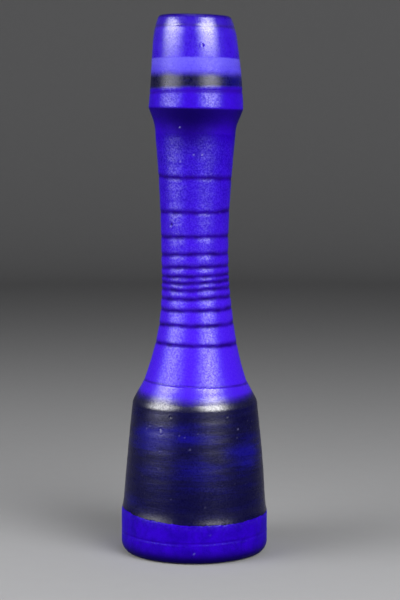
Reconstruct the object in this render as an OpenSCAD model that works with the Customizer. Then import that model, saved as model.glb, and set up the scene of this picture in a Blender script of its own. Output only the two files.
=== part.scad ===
// Tall stoneware vase. Three thrown sections (drum, neck and collar) are luted together with slip
// and glazed in bands. Every piece is turned about Z, and the foot ring stands on z = 0.
// All sizes are in millimetres. The sections' sizes are those of the bare clay.

/* [Drum] */
// Diameter of the upright foot band
foot_dia = 107.4; // [95:0.2:120]
// Height of the foot band, where the wall starts to taper
foot_h = 30.3; // [26:0.1:36]
// Radius of the rolled edge under the foot band
foot_roll = 7.5; // [6:0.5:10]
// Width of the ring that the vase stands on
foot_ring_w = 10; // [6:0.5:16]
// Depth of the turned recess inside the foot ring
foot_recess = 2; // [1:0.25:4]
// Diameter at the top of the tapered wall
drum_top_dia = 91.6; // [86:0.2:98]
// Height of the top of the tapered wall
drum_top_z = 114; // [104:0.5:124]
// Swell of the tapered wall, halfway up it
drum_belly = 0.35; // [0:0.05:1]
// Radius of the turn from the wall into the shoulder
shoulder_roll = 11; // [6:1:20]
// Rise of the shoulder, from the wall up to the neck's joint
shoulder_h = 15; // [12:0.5:20]

/* [Neck] */
// Diameter at the joint with the drum
neck_foot_dia = 74.4; // [66:0.2:80]
// Diameter at the waist
waist_dia = 47.4; // [42:0.2:54]
// Rise from the drum's joint to the waist
waist_rise = 93; // [80:1:110]
// How sharply the neck flares below the waist
flare_power = 2.5; // [2:0.1:3]
// Diameter at the joint with the collar
neck_top_dia = 57.4; // [54:0.2:62]
// How sharply the neck widens above the waist
widen_power = 1.8; // [1.5:0.1:2.5]
// Height of the neck, from joint to joint
neck_h = 184.5; // [168:0.5:204]

/* [Collar] */
// Rise from the neck's joint to the knee of the flare under the collar
knee_h = 6.5; // [4:0.5:8]
// Radius of the knee
knee_roll = 36; // [10:1:40]
// Rise from the neck's joint to the collar's sharp lower edge
skirt_h = 18.5; // [15:0.5:22]
// Diameter at the sharp lower edge
collar_dia = 68.4; // [66:0.2:74]
// Rise from the sharp edge to the turn at the top of the collar's wall
collar_h = 57; // [52:0.5:64]
// Diameter at that turn
collar_top_dia = 59.2; // [57:0.2:62]
// Radius of that turn
collar_roll = 30; // [10:1:34]
// Swell of the collar's wall, halfway up it
collar_belly = 0.4; // [0:0.05:1]
// Rise from that turn to the top of the lip
rim_h = 10.2; // [8.5:0.1:13]
// Thickness of the rounded lip
lip_t = 4.6; // [3.6:0.1:5.4]
// Diameter of the circle through the middle of the lip
lip_dia = 48.6; // [46:0.2:51]

/* [Clay] */
// Thickness of the thrown wall
wall = 5.5; // [4.5:0.1:7]
// Thickness of the floor above the recess
floor_t = 7; // [5:0.5:10]
// Radius of the corner between floor and wall inside
floor_roll = 10; // [5:0.5:14]
// Length over which the inside runs straight below and above the flare
throat_ease = 10; // [6:1:14]

/* [Lute joints] */
// Thickness of the slip
slip_t = 0.6; // [0.4:0.1:1.2]
// Height of the tongue on the lower section
tongue_h = 4; // [2:0.5:6]

/* [Glaze] */
// Thickness of the coat on the foot band
foot_coat = 1.3; // [0.9:0.1:1.6]
// Thickness of the coat on the neck
neck_coat = 1.1; // [0.9:0.1:1.5]
// Thickness of the other coats outside
coat = 0.8; // [0.6:0.1:1.2]
// Thickness of the lining
liner_t = 0.5; // [0.3:0.1:1]
// Height of bare clay above the foot ring
foot_bare = 2; // [1.8:0.1:4]
// Rise of the dark coat above the top of the drum's wall
dark_rise = 4.5; // [1:0.5:6]
// Rise of the collar's dark band above the sharp edge
band_rise = 14.8; // [12:0.1:17]
// Width of the collar's dark band
dark_band_w = 10.5; // [8:0.5:14]
// Width of the collar's pale band
pale_band_w = 11.5; // [8:0.5:14]
// Length of the rim's coat inside the mouth
rim_lap = 12; // [8:1:20]

/* [Incised lines] */
// Width of a ring on the neck
ring_w = 1.6; // [1:0.1:2]
// Width of a fine line
line_w = 1; // [0.6:0.1:1.4]
// Glaze left under a ring or a line
ring_floor = 0.35; // [0.2:0.05:0.5]
// Rise of the middle ring above the drum's joint
ring_rise = 74.6; // [60:0.1:90]
// Number of rings above the middle one
rings_above = 6; // [0:1:6]
// First gap above the middle ring
gap_above = 4.8; // [4:0.1:6]
// Growth of each gap above over the one before it
growth_above = 1.395; // [1.2:0.005:1.45]
// Number of rings below the middle one
rings_below = 5; // [0:1:5]
// First gap below the middle ring
gap_below = 5.1; // [4:0.1:6]
// Growth of each gap below over the one before it
growth_below = 1.3; // [1.1:0.01:1.4]
// Height of the fine line round the foot
foot_line_z = 15.3; // [13:0.1:20]
// Drop of the fine line on the collar below the dark band
band_line_drop = 3; // [1:0.1:5]
// Drop of the fine line on the rim below the top of the lip
rim_line_drop = 7.7; // [7:0.1:12]

/* [Hidden] */

$fn = 96;
turn_steps = 8;
wall_steps = 5;
neck_steps = 44;
lip_steps = 12;
// Height above and below a point over which the wall's lean is measured
look = 0.5;
// The most of a side that the rounding of its corner may take up
most_of_side = 0.9;
// Distance under which two points of an outline count as one
same = 0.001;

clay_buff = "#8d7c6b";
slip_grey = "#a89a88";
cobalt = "#3a10dc";
night_blue = "#1b1930";
pale_blue = "#6e5df4";

foot_r = foot_dia / 2;
drum_top_r = drum_top_dia / 2;
neck_foot_r = neck_foot_dia / 2;
waist_r = waist_dia / 2;
neck_top_r = neck_top_dia / 2;
collar_r = collar_dia / 2;
lip_r = lip_t / 2;

low_seam = drum_top_z + shoulder_h;
waist_z = low_seam + waist_rise;
high_seam = low_seam + neck_h;
arris_z = high_seam + skirt_h;
collar_turn = [collar_top_dia / 2, arris_z + collar_h];
lip_c = [lip_dia / 2, collar_turn.y + rim_h - lip_r];

floor_z = foot_recess + floor_t;
dark_top_z = drum_top_z + dark_rise;
band_z = arris_z + band_rise;
pale_z = band_z + dark_band_w;
pale_top_z = pale_z + pale_band_w;
rim_line_z = lip_c.y + lip_r - rim_line_drop;
lap_z = lip_c.y - rim_lap;

function last(path) = path[len(path) - 1];

// Points on the arc that rounds the corner p between a and b, no longer than the sides allow
function turn(a, p, b, rad) =
    let (
        a1 = atan2(p.y - a.y, p.x - a.x),
        a2 = atan2(b.y - p.y, b.x - p.x),
        side = sign(a2 - a1),
        run = min(rad * tan(abs(a2 - a1) / 2), most_of_side * min(norm(p - a), norm(b - p))),
        fit = run / tan(abs(a2 - a1) / 2),
        c = p - run * [cos(a1), sin(a1)] + side * fit * [-sin(a1), cos(a1)]
    )
    [for (i = [0:turn_steps])
        let (t = a1 + (a2 - a1) * i / turn_steps)
        c + side * fit * [sin(t), -cos(t)]];

// A point on a tapered wall from a to b that swells by belly halfway
function swelled(a, b, belly, part) = a + (b - a) * part + [4 * belly * part * (1 - part), 0];

// Radius of the neck: one power curve below the waist and one above it
function neck_r(z) = z < waist_z
    ? waist_r + (neck_foot_r - waist_r) * pow((waist_z - z) / waist_rise, flare_power)
    : waist_r + (neck_top_r - waist_r) * pow((z - waist_z) / (high_seam - waist_z), widen_power);

// The outside of the clay, from the foot ring up to the point where the bevel meets the lip
foot_edge = [for (i = [0:turn_steps])
    let (a = 90 * i / turn_steps)
    [foot_r - foot_roll + foot_roll * sin(a), foot_roll - foot_roll * cos(a)]];
drum_turn = [drum_top_r, drum_top_z];
drum_wall = [for (i = [0:wall_steps - 1])
    swelled([foot_r, foot_h], drum_turn, drum_belly, i / wall_steps)];
shoulder_turn = concat(
    turn(last(drum_wall), drum_turn, [neck_foot_r, low_seam], shoulder_roll),
    [[neck_foot_r, low_seam]]
);
dark_top_r = lookup(dark_top_z, [for (p = shoulder_turn) [p.y, p.x]]);
shoulder = concat(
    [for (p = shoulder_turn) if (p.y < dark_top_z) p],
    [[dark_top_r, dark_top_z]],
    [for (p = shoulder_turn) if (p.y > dark_top_z && p.y < low_seam) p]
);
neck_wall = [for (i = [0:neck_steps])
    let (z = low_seam + neck_h * i / neck_steps)
    [neck_r(z), z]];
neck_lean = (neck_top_r - neck_r(high_seam - look)) / look;
knee = [neck_top_r + neck_lean * knee_h, high_seam + knee_h];
arris = [collar_r, arris_z];
skirt = turn([neck_top_r, high_seam], knee, arris, knee_roll);
collar_wall = [for (z = [arris_z, band_z, pale_z, pale_top_z])
    swelled(arris, collar_turn, collar_belly, (z - arris_z) / collar_h)];
lip_v = collar_turn - lip_c;
lip_a = atan2(lip_v.y, lip_v.x) + acos(lip_r / norm(lip_v));
lip_start = lip_c + lip_r * [cos(lip_a), sin(lip_a)];
bevel = turn(last(collar_wall), collar_turn, lip_start, collar_roll);
bevel_top_z = lip_start.y - 2 * look;
outside = concat(foot_edge, drum_wall, shoulder, neck_wall, skirt, collar_wall, bevel, [lip_start]);
outside_table = [for (p = outside) [p.y, p.x]];

function outer_r(z) = lookup(z, outside_table);
function lean(z) = (outer_r(z + look) - outer_r(z - look)) / (2 * look);

// The inside of the clay, which runs straight from neck to collar behind the sharp edge
floor_top = floor_z + floor_roll;
throat_low = high_seam - throat_ease;
throat_high = arris_z + throat_ease;
inside_z = concat(
    [floor_top],
    [for (p = outside) if (p.y > floor_top && p.y < throat_low) p.y],
    [throat_low, throat_high],
    [for (p = outside) if (p.y > throat_high && p.y < collar_turn.y) p.y]
);
inside_table = concat(
    [for (z = inside_z) [z, outer_r(z) - wall * sqrt(1 + pow(lean(z), 2))]],
    [[lip_c.y, lip_c.x - lip_r]]
);

function inner_r(z) = lookup(z, inside_table);

// Points on the outside between two heights, going up
function outer_run(z0, z1) = concat(
    [[outer_r(z0), z0]],
    [for (p = outside) if (p.y > z0 && p.y < z1) p],
    [[outer_r(z1), z1]]
);

// Points on the inside between two heights, going up, for a surface that lies t inside the clay
function inner_run(z0, z1, t = 0) = concat(
    [[inner_r(z0) - t, z0]],
    [for (row = inside_table) if (row[0] > z0 && row[0] < z1) [row[1] - t, row[0]]],
    [[inner_r(z1) - t, z1]]
);

// The corner inside between floor and wall, from the floor up, for a surface that lies t inside the clay
function floor_corner(t = 0) =
    let (c = [inner_r(floor_top) - floor_roll, floor_top])
    [for (i = [0:turn_steps])
        let (a = 90 * i / turn_steps)
        c + (floor_roll - t) * [sin(a), -cos(a)]];

// The lip, from outside to inside, for a surface that lies t outside the clay
function lip_run(t = 0) =
    [for (i = [0:lip_steps])
        let (a = lip_a + (180 - lip_a) * i / lip_steps)
        lip_c + (lip_r + t) * [cos(a), sin(a)]];

// A lute joint's face, from outside to inside: a step with a tongue on the inner half of the wall.
// The lower section has it at up = 0, and the upper one lies on the slip.
function tongue_r(seam) = (outer_r(seam) + inner_r(seam + tongue_h)) / 2;
function lute(seam, up = 0) = [
    [outer_r(seam + up), seam + up],
    [tongue_r(seam) + up, seam + up],
    [tongue_r(seam) + up, seam + tongue_h + up],
    [inner_r(seam + tongue_h + up), seam + tongue_h + up]
];

// A point t outside the clay at the height z, along the surface's normal
function skin(z, t = 0) =
    let (k = lean(z))
    [outer_r(z), z] + t / sqrt(1 + k * k) * [1, -k];
function skin_run(z0, z1, t = 0) = [for (p = outer_run(z0, z1)) skin(p.y, t)];

// The outer face of a coat between two heights, going up, with lines of width w cut into it
function coat_face(z0, z1, t, lines, w) =
    let (
        cuts = [for (z = lines) if (z - w / 2 > z0 && z + w / 2 < z1) z],
        starts = concat([z0], [for (z = cuts) z + w / 2]),
        ends = concat([for (z = cuts) z - w / 2], [z1])
    )
    [for (i = [0:len(cuts)])
        each concat(
            skin_run(starts[i], ends[i], t),
            i < len(cuts) ? [skin(cuts[i], ring_floor)] : []
        )];

// Heights of the incised rings, going up: the gaps grow away from the middle ring
function rings_span(gap, growth, n) = n == 0 ? 0 : gap + growth * rings_span(gap, growth, n - 1);
ring_mid_z = low_seam + ring_rise;
ring_heights = concat(
    [for (i = [rings_below:-1:1]) ring_mid_z - rings_span(gap_below, growth_below, i)],
    [for (i = [0:1:rings_above]) ring_mid_z + rings_span(gap_above, growth_above, i)]
);

function reversed(path) = [for (i = [len(path) - 1:-1:0]) path[i]];
function distinct(path) = [for (i = [0:len(path) - 1])
    if (i == 0 || norm(path[i] - path[i - 1]) > same) path[i]];

module turned(path) {
    rotate_extrude() polygon(distinct(path));
}

module slip_ring(seam) {
    color(slip_grey) turned(concat(lute(seam), reversed(lute(seam, slip_t))));
}

module glaze_band(z0, z1, t, lines = [], w = line_w) {
    turned(concat(skin_run(z0, z1), reversed(coat_face(z0, z1, t, lines, w))));
}

module drum() {
    ring_in = foot_r - foot_roll - foot_ring_w;
    color(clay_buff) turned(concat(
        [[0, foot_recess], [ring_in - foot_recess, foot_recess], [ring_in, 0]],
        outer_run(0, low_seam),
        lute(low_seam),
        reversed(inner_run(floor_top, low_seam + tongue_h)),
        reversed(floor_corner()),
        [[0, floor_z]]
    ));
}

module shoulder_slip() {
    slip_ring(low_seam);
}

module neck() {
    color(clay_buff) turned(concat(
        outer_run(low_seam + slip_t, high_seam),
        lute(high_seam),
        reversed(inner_run(low_seam + tongue_h + slip_t, high_seam + tongue_h)),
        reversed(lute(low_seam, slip_t))
    ));
}

module collar_slip() {
    slip_ring(high_seam);
}

module collar() {
    color(clay_buff) turned(concat(
        outer_run(high_seam + slip_t, bevel_top_z),
        lip_run(),
        reversed(inner_run(high_seam + tongue_h + slip_t, lip_c.y)),
        reversed(lute(high_seam, slip_t))
    ));
}

module foot_glaze() {
    color(cobalt) glaze_band(foot_bare, foot_h, foot_coat, [foot_line_z]);
}

module drum_glaze() {
    color(night_blue) glaze_band(foot_h, dark_top_z, coat);
}

module shoulder_glaze() {
    color(cobalt) glaze_band(dark_top_z, low_seam, coat);
}

module neck_glaze() {
    color(cobalt) glaze_band(low_seam, high_seam, neck_coat, ring_heights, ring_w);
}

module skirt_glaze() {
    color(cobalt) glaze_band(high_seam, band_z, coat, [band_z - band_line_drop]);
}

module collar_dark_glaze() {
    color(night_blue) glaze_band(band_z, pale_z, coat);
}

module collar_pale_glaze() {
    color(pale_blue) glaze_band(pale_z, pale_top_z, coat);
}

module rim_glaze() {
    color(cobalt) turned(concat(
        skin_run(pale_top_z, bevel_top_z),
        lip_run(),
        reversed(inner_run(lap_z, lip_c.y)),
        inner_run(lap_z, lip_c.y, coat),
        reversed(lip_run(coat)),
        reversed(coat_face(pale_top_z, bevel_top_z, coat, [rim_line_z], line_w))
    ));
}

module liner_glaze() {
    color(cobalt) turned(concat(
        [[0, floor_z]],
        floor_corner(),
        inner_run(floor_top, lap_z),
        reversed(inner_run(floor_top, lap_z, liner_t)),
        reversed(floor_corner(liner_t)),
        [[0, floor_z + liner_t]]
    ));
}

drum();
shoulder_slip();
neck();
collar_slip();
collar();
foot_glaze();
drum_glaze();
shoulder_glaze();
neck_glaze();
skirt_glaze();
collar_dark_glaze();
collar_pale_glaze();
rim_glaze();
liner_glaze();
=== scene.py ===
import math
import bpy
import numpy as np
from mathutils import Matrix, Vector


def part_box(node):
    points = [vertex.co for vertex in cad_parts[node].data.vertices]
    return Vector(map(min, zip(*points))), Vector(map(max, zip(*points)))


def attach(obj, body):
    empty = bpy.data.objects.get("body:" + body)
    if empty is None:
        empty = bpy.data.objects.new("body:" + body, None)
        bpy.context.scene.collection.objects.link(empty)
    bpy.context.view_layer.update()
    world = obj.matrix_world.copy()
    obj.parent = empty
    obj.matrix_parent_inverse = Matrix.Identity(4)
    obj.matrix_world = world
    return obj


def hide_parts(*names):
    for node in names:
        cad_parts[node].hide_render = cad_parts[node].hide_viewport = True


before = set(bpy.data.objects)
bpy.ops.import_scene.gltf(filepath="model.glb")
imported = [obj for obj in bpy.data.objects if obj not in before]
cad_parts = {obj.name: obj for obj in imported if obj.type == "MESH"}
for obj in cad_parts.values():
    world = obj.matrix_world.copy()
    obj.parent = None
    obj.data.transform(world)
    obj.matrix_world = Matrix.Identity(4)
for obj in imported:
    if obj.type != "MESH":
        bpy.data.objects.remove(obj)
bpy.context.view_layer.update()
mm = 0.001
print("frame loaded:", len(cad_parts), "nodes")

# The clay as thrown: three sections, all turned about Z
drumForm = {
    "footRadius": 53.7 * mm,
    "footTop": 30.3 * mm,
    "footRoll": 7.5 * mm,
    "topRadius": 45.8 * mm,
    "topHeight": 114 * mm,
    "belly": 0.35 * mm,
    "shoulderRoll": 11 * mm,
    "ringWidth": 10 * mm,
    "recess": 2 * mm,
    "floor": 9 * mm,
    "floorRoll": 10 * mm,
}
neckForm = {
    "low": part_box("shoulder_slip")[0].z,
    "lowRadius": 37.2 * mm,
    "waist": 222 * mm,
    "waistRadius": 23.7 * mm,
    "flare": 2.5,
    "high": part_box("collar_slip")[0].z,
    "highRadius": 28.7 * mm,
    "widen": 1.8,
}
collarForm = {
    "kneeRise": 6.5 * mm,
    "kneeRoll": 36 * mm,
    "arris": 332 * mm,
    "arrisRadius": 34.2 * mm,
    "arrisRoll": 5 * mm,
    "turn": 389 * mm,
    "turnRadius": 29.6 * mm,
    "turnRoll": 55 * mm,
    "belly": 0.4 * mm,
    "lip": 396.9 * mm,
    "lipRing": 24.3 * mm,
    "lipRadius": 2.3 * mm,
    "wall": 5.5 * mm,
    "throatEase": 10 * mm,
}


def turnCorner(before, corner, after, radius, steps=16):
    # points on the arc that rounds a corner, no longer than its sides allow
    a, p, b = np.array(before), np.array(corner), np.array(after)
    start = math.atan2(p[1] - a[1], p[0] - a[0])
    end = math.atan2(b[1] - p[1], b[0] - p[0])
    half = abs(end - start) / 2
    side = math.copysign(1, end - start)
    run = min(radius * math.tan(half), 0.9 * np.linalg.norm(p - a), 0.9 * np.linalg.norm(b - p))
    fit = run / math.tan(half)
    toSide = np.array((-math.sin(start), math.cos(start)))
    centre = p - run * np.array((math.cos(start), math.sin(start))) + side * fit * toSide
    return [tuple(centre + side * fit * np.array((math.sin(t), -math.cos(t))))
            for t in np.linspace(start, end, steps + 1)]


def swelled(a, b, belly, part):
    return (a[0] + (b[0] - a[0]) * part + 4 * belly * part * (1 - part), a[1] + (b[1] - a[1]) * part)


def neckRadius(z):
    n = neckForm
    below = max(n["waist"] - z, 0) / (n["waist"] - n["low"])
    above = max(z - n["waist"], 0) / (n["high"] - n["waist"])
    flared = (n["lowRadius"] - n["waistRadius"]) * below ** n["flare"]
    widened = (n["highRadius"] - n["waistRadius"]) * above ** n["widen"]
    return n["waistRadius"] + flared + widened


def outsideOfClay():
    # radius and height of the clay's outside, from the foot ring up to the lip
    d, n, c = drumForm, neckForm, collarForm
    line = [(d["footRadius"] - d["footRoll"] * (1 - math.sin(a)), d["footRoll"] * (1 - math.cos(a)))
            for a in np.linspace(0, math.pi / 2, 16)]
    wallFoot = (d["footRadius"], d["footTop"])
    wallTop = (d["topRadius"], d["topHeight"])
    line += [swelled(wallFoot, wallTop, d["belly"], part) for part in np.linspace(0, 0.8, 24)]
    line += turnCorner(line[-1], wallTop, (n["lowRadius"], n["low"]), d["shoulderRoll"])
    line += [(neckRadius(z), z) for z in np.linspace(n["low"], n["high"], 180)]
    lean = (n["highRadius"] - n["waistRadius"]) * n["widen"] / (n["high"] - n["waist"])
    knee = (n["highRadius"] + lean * c["kneeRise"], n["high"] + c["kneeRise"])
    arris = (c["arrisRadius"], c["arris"])
    line += turnCorner(line[-1], knee, arris, c["kneeRoll"])
    collarTop = (c["turnRadius"], c["turn"])
    wall = [swelled(arris, collarTop, c["belly"], part) for part in np.linspace(0.08, 0.65, 16)]
    line += turnCorner(line[-1], arris, wall[0], c["arrisRoll"]) + wall
    line += turnCorner(line[-1], collarTop, lipPoint(lipStart()), c["turnRoll"])
    return line


def lipStart():
    # angle on the lip's round where the bevel touches it
    c = collarForm
    across = c["turnRadius"] - c["lipRing"]
    down = c["turn"] - c["lip"]
    return math.atan2(down, across) + math.acos(c["lipRadius"] / math.hypot(across, down))


def lipPoint(angle):
    c = collarForm
    return (c["lipRing"] + c["lipRadius"] * math.cos(angle), c["lip"] + c["lipRadius"] * math.sin(angle))


outsideLine = np.array(outsideOfClay())


def insideOfClay():
    # radius and height of the clay's inside, straight behind the arris
    c = collarForm
    slope = np.gradient(outsideLine[:, 0], outsideLine[:, 1])
    table = np.column_stack((outsideLine[:, 0] - c["wall"] * np.sqrt(1 + slope ** 2), outsideLine[:, 1]))
    straight = (neckForm["high"] - c["throatEase"], c["arris"] + c["throatEase"])
    keep = (table[:, 1] > drumForm["floor"]) & (table[:, 1] < c["turn"])
    keep &= (table[:, 1] < straight[0]) | (table[:, 1] > straight[1])
    return np.vstack((table[keep], (c["lipRing"] - c["lipRadius"], c["lip"])))


insideLine = insideOfClay()


def innerRadius(z):
    return float(np.interp(z, insideLine[:, 1], insideLine[:, 0]))


def insideRun(low, high, step=4 * mm):
    heights = np.linspace(low, high, max(2, round((high - low) / step) + 1))
    return [(innerRadius(z), z) for z in heights]


# The path that the glaze follows: up the outside, over the lip and down into the mouth
rimForm = {"lap": 384.9 * mm, "footBare": 2 * mm}


def glazePath(step=0.25 * mm):
    over = [lipPoint(a) for a in np.linspace(lipStart(), math.pi, 20)]
    down = insideRun(rimForm["lap"], collarForm["lip"], 1 * mm)[::-1]
    points = np.array(list(outsideLine) + over + down)
    runs = np.hypot(*np.diff(points, axis=0).T)
    points = points[np.concatenate(([True], runs > 0.01 * mm))]
    along = np.concatenate(([0], np.cumsum(np.hypot(*np.diff(points, axis=0).T))))
    even = np.arange(0, along[-1], step)
    even = np.append(even, along[-1])
    return even, np.column_stack([np.interp(even, along, points[:, i]) for i in (0, 1)])


pathAlong, pathPoints = glazePath()
pathTangents = np.gradient(pathPoints, pathAlong, axis=0)
pathNormals = np.column_stack((pathTangents[:, 1], -pathTangents[:, 0]))
pathNormals /= np.linalg.norm(pathNormals, axis=1)[:, None]
lipTop = int(np.argmax(pathPoints[:, 1]))


def alongAt(height):
    return float(np.interp(height, pathPoints[:lipTop, 1], pathAlong[:lipTop]))


def onPath(along):
    point = [np.interp(along, pathAlong, pathPoints[:, i]) for i in (0, 1)]
    normal = [np.interp(along, pathAlong, pathNormals[:, i]) for i in (0, 1)]
    return np.array(point), np.array(normal)


print("outline drawn:", round(pathAlong[-1] / mm), "mm of glaze")

# Lines cut with a point while the vase turned. Rings crowd together at the middle one.
# A line has a half width, a depth, a darkness (dark glaze in the cut, partly painted shade of the groove),
# the height of the lip below it, and how many half widths the dark reaches above it; on the rings that reach
# is painted shade over the lower part of the band above
ringForm = {
    "middle": 203.6 * mm,
    "firstUp": 4.8 * mm,
    "growUp": 1.395,
    "up": 6,
    "firstDown": 5.1 * mm,
    "growDown": 1.3,
    "down": 5,
    "line": (1.0 * mm, 0.32 * mm, 1.0, 0.0, 2.3),
    "swell": 0.2 * mm,
    "swellGap": 10 * mm,
}
# Fine lines: the height, then as for a ring
fineLines = {
    "foot": (15.3 * mm, 0.7 * mm, 0.22 * mm, 0.25, 0.16 * mm, 1.5),
    "shoulder": (neckForm["low"], 0.6 * mm, 0.12 * mm, 0.8, 0.1 * mm, 1.5),
    "collar": (344.2 * mm, 1.2 * mm, 0.25 * mm, 1.0, 0.08 * mm, 1.5),
    "rim": (391.4 * mm, 0.8 * mm, 0.03 * mm, 1.5, 0.05 * mm, 1.5),
}
# The shape of a cut, in half widths: its gentle lower side, the lip below it, and the dark below it, which is
# partly painted shade
cutForm = {"ease": 1.9, "easePower": 1.4, "lipDown": 2.0, "lipWidth": 0.9, "darkDown": 1.5, "darkPower": 2.2}


def ringHeights():
    f = ringForm
    heights = [f["middle"]]
    for i in range(f["up"]):
        heights.append(heights[-1] + f["firstUp"] * f["growUp"] ** i)
    for i in range(f["down"]):
        heights.insert(0, heights[0] - f["firstDown"] * f["growDown"] ** i)
    return heights


ringAlong = [alongAt(z) for z in ringHeights()]
incised = [(along,) + ringForm["line"] for along in ringAlong]
incised += [(alongAt(line[0]),) + line[1:] for line in fineLines.values()]


def lineDepth(along):
    # how deep the surface is cut here: steep above a line and gentle below it,
    # less the lip below the line and the swell between rings
    c = cutForm
    depth = 0
    for centre, halfWidth, full, _, lip, _ in incised:
        away = (along - centre) / halfWidth
        fall = away ** 2 if away > 0 else (-away / c["ease"]) ** c["easePower"]
        depth += full * math.exp(-fall)
        depth -= lip * math.exp(-((away + c["lipDown"]) / c["lipWidth"]) ** 2)
    for low, high in zip(ringAlong, ringAlong[1:]):
        if low < along < high:
            part = (along - low) / (high - low)
            fade = min(1, ringForm["swellGap"] / (high - low)) ** 2
            depth -= ringForm["swell"] * fade * 4 * part * (1 - part)
    return depth


def lineMark(along):
    # dark glaze in the cut, partly painted shade; above a ring it reaches further as painted shade
    marks = []
    for centre, halfWidth, _, dark, _, reach in incised:
        wide = halfWidth * (reach if along > centre else cutForm["darkDown"])
        marks.append(dark * math.exp(-abs((along - centre) / wide) ** cutForm["darkPower"]))
    return max(marks)


# Coats of glaze: thickness, and how closely the rows lie on the face that shows and on the clay
coatForm = {
    "clayRow": 6 * mm,
    "endRow": 0.12 * mm,
    "closest": 0.1 * mm,
    "thin": 0.8 * mm,
    "neck": 1.1 * mm,
    "foot": 1.15 * mm,
    "bead": 1.4 * mm,
    "beadDrop": 0.75 * mm,
    "beadRows": (0.1, 0.25, 0.45, 0.7, 1.0),
    "blend": 5 * mm,
    "lineRows": (-3.0, -2.2, -1.6, -1.0, -0.6, -0.3, 0, 0.3, 0.6, 1.0, 1.5),
}


def coatThickness(along):
    # the neck's thicker coat runs out into its neighbours
    c = coatForm
    low, high = alongAt(neckForm["low"]), alongAt(neckForm["high"])
    return np.interp(along, (low - c["blend"], low + c["blend"], high - c["blend"], high + c["blend"]),
                     (c["thin"], c["neck"], c["neck"], c["thin"]))


def footThickness(along):
    # the foot's coat ends in a rolled bead
    c = coatForm
    part = np.clip((along - borders["drum"] + c["bead"]) / c["bead"], 0, 1)
    return c["foot"] - c["beadDrop"] * (1 - math.sqrt(1 - part ** 2))


def rowsAlong(start, end, row):
    c = coatForm
    rows = list(np.linspace(start, end, max(2, round((end - start) / row))))
    rows += [start + c["endRow"], end - c["endRow"]]
    rows += [borders["drum"] - k * mm for k in c["beadRows"]]
    for centre, halfWidth, *_ in incised:
        rows += [centre + halfWidth * k for k in c["lineRows"]]
    rows = sorted(s for s in rows if start <= s <= end)
    kept = [rows[0]]
    for s in rows[1:]:
        if s - kept[-1] > c["closest"]:
            kept.append(s)
    kept[-1] = end
    return kept


def readPlaces(mesh):
    flat = np.empty(len(mesh.vertices) * 3)
    mesh.vertices.foreach_get("co", flat)
    return flat.reshape(-1, 3)


def readMark(mesh, name):
    values = np.zeros(len(mesh.vertices))
    if name in mesh.attributes:
        mesh.attributes[name].data.foreach_get("value", values)
    return values


def writeMark(mesh, name, values):
    mark = mesh.attributes.get(name) or mesh.attributes.new(name, "FLOAT", "POINT")
    mark.data.foreach_set("value", values)


def editAll():
    bpy.ops.object.mode_set(mode="EDIT")
    bpy.ops.mesh.select_all(action="SELECT")


def lathe(name, outline, marks=None, closed=True, segments=144):
    # one point drawn along the outline in the XZ plane, then turned about Z by a screw without a rise
    bpy.ops.object.select_all(action="DESELECT")
    bpy.ops.mesh.primitive_plane_add(size=1, calc_uvs=False, location=(0, 0, 0))
    piece = bpy.context.object
    piece.name = name
    piece.data.name = name
    editAll()
    bpy.ops.mesh.merge(type="CENTER")
    first = outline[0]
    bpy.ops.transform.translate(value=(first[0], 0, first[1]))
    for a, b in zip(outline, outline[1:]):
        step = (b[0] - a[0], 0, b[1] - a[1])
        bpy.ops.mesh.extrude_region_move(TRANSFORM_OT_translate={"value": step})
    if closed:
        bpy.ops.mesh.select_all(action="SELECT")
        bpy.ops.mesh.edge_face_add()
        bpy.ops.mesh.delete(type="ONLY_FACE")
    bpy.ops.object.mode_set(mode="OBJECT")
    for key, values in (marks or {}).items():
        writeMark(piece.data, key, values)
    turning = piece.modifiers.new("turning", "SCREW")
    turning.steps = turning.render_steps = segments
    turning.use_merge_vertices = True
    bpy.ops.object.modifier_apply(modifier=turning.name)
    editAll()
    bpy.ops.mesh.remove_doubles(threshold=0.002 * mm)
    bpy.ops.mesh.normals_make_consistent(inside=False)
    bpy.ops.object.mode_set(mode="OBJECT")
    return piece


# How the vase strays from a true turning. Heights here are in mm
thrownForm = {
    "sways": ((1.3 * mm, 174, 34), (0.25 * mm, 288, 28), (1.15 * mm, 350, 33)),  # to the right, height, reach
    "offFoot": (0.37 * mm, 30, 75),
    "backSway": (0.3 * mm, 58),
    "standing": (6, 60),  # the foot stays true below these heights
    "oval": 0.1 * mm,
    "fingers": 0.03 * mm,
    "collarTilt": math.radians(1.3),
    "tiltRise": (245, 334),
    # lines near the rim and the shoulder's line are painted paler at front and back: painted highlight where
    # the lamps' highlights cross them
    "faintLine": 0.3,
    "faintFrom": (385, 390),
    "lines": (3, 12, 372, 386),  # lines stray between these heights
    "rings": (134, 150, 292, 308),
    "ringSlopeFrom": (133, 145),
    "wander": 0.26 * mm,
    "calm": 0.15,  # the share of the wander away from the rings
    "ragged": 0.16 * mm,
    "raggedReach": 2.5,
    "bead": 0.1 * mm,
    "fillet": (1.5 * mm, 5),
    "thinned": (1.28 * mm, 14),
    "stillCentre": (2, 16),
}
# Waves round the vase: size, how many go round, how they climb per mm, and where they start
wanderWaves = [
    (1.0, 2, 1 / 13, 0),
    (0.7, 3, -1 / 7, 1),
    (0.5, 5, 1 / 4, 2),
    (0.4, 11, -1 / 3, 0),
    (0.3, 19, 1 / 2, 1),
    (0.2, 31, -1, 0),
]
raggedWaves = [(1.0, 9, 0, 1), (0.8, 23, 0, 0), (0.7, 41, 0, 2), (0.6, 67, 0, 1), (0.5, 97, 0, 0)]
fingerWaves = [(1.0, 1, 1 / 1.9, 0), (0.6, -2, 1 / 1.1, 1)]
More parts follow.
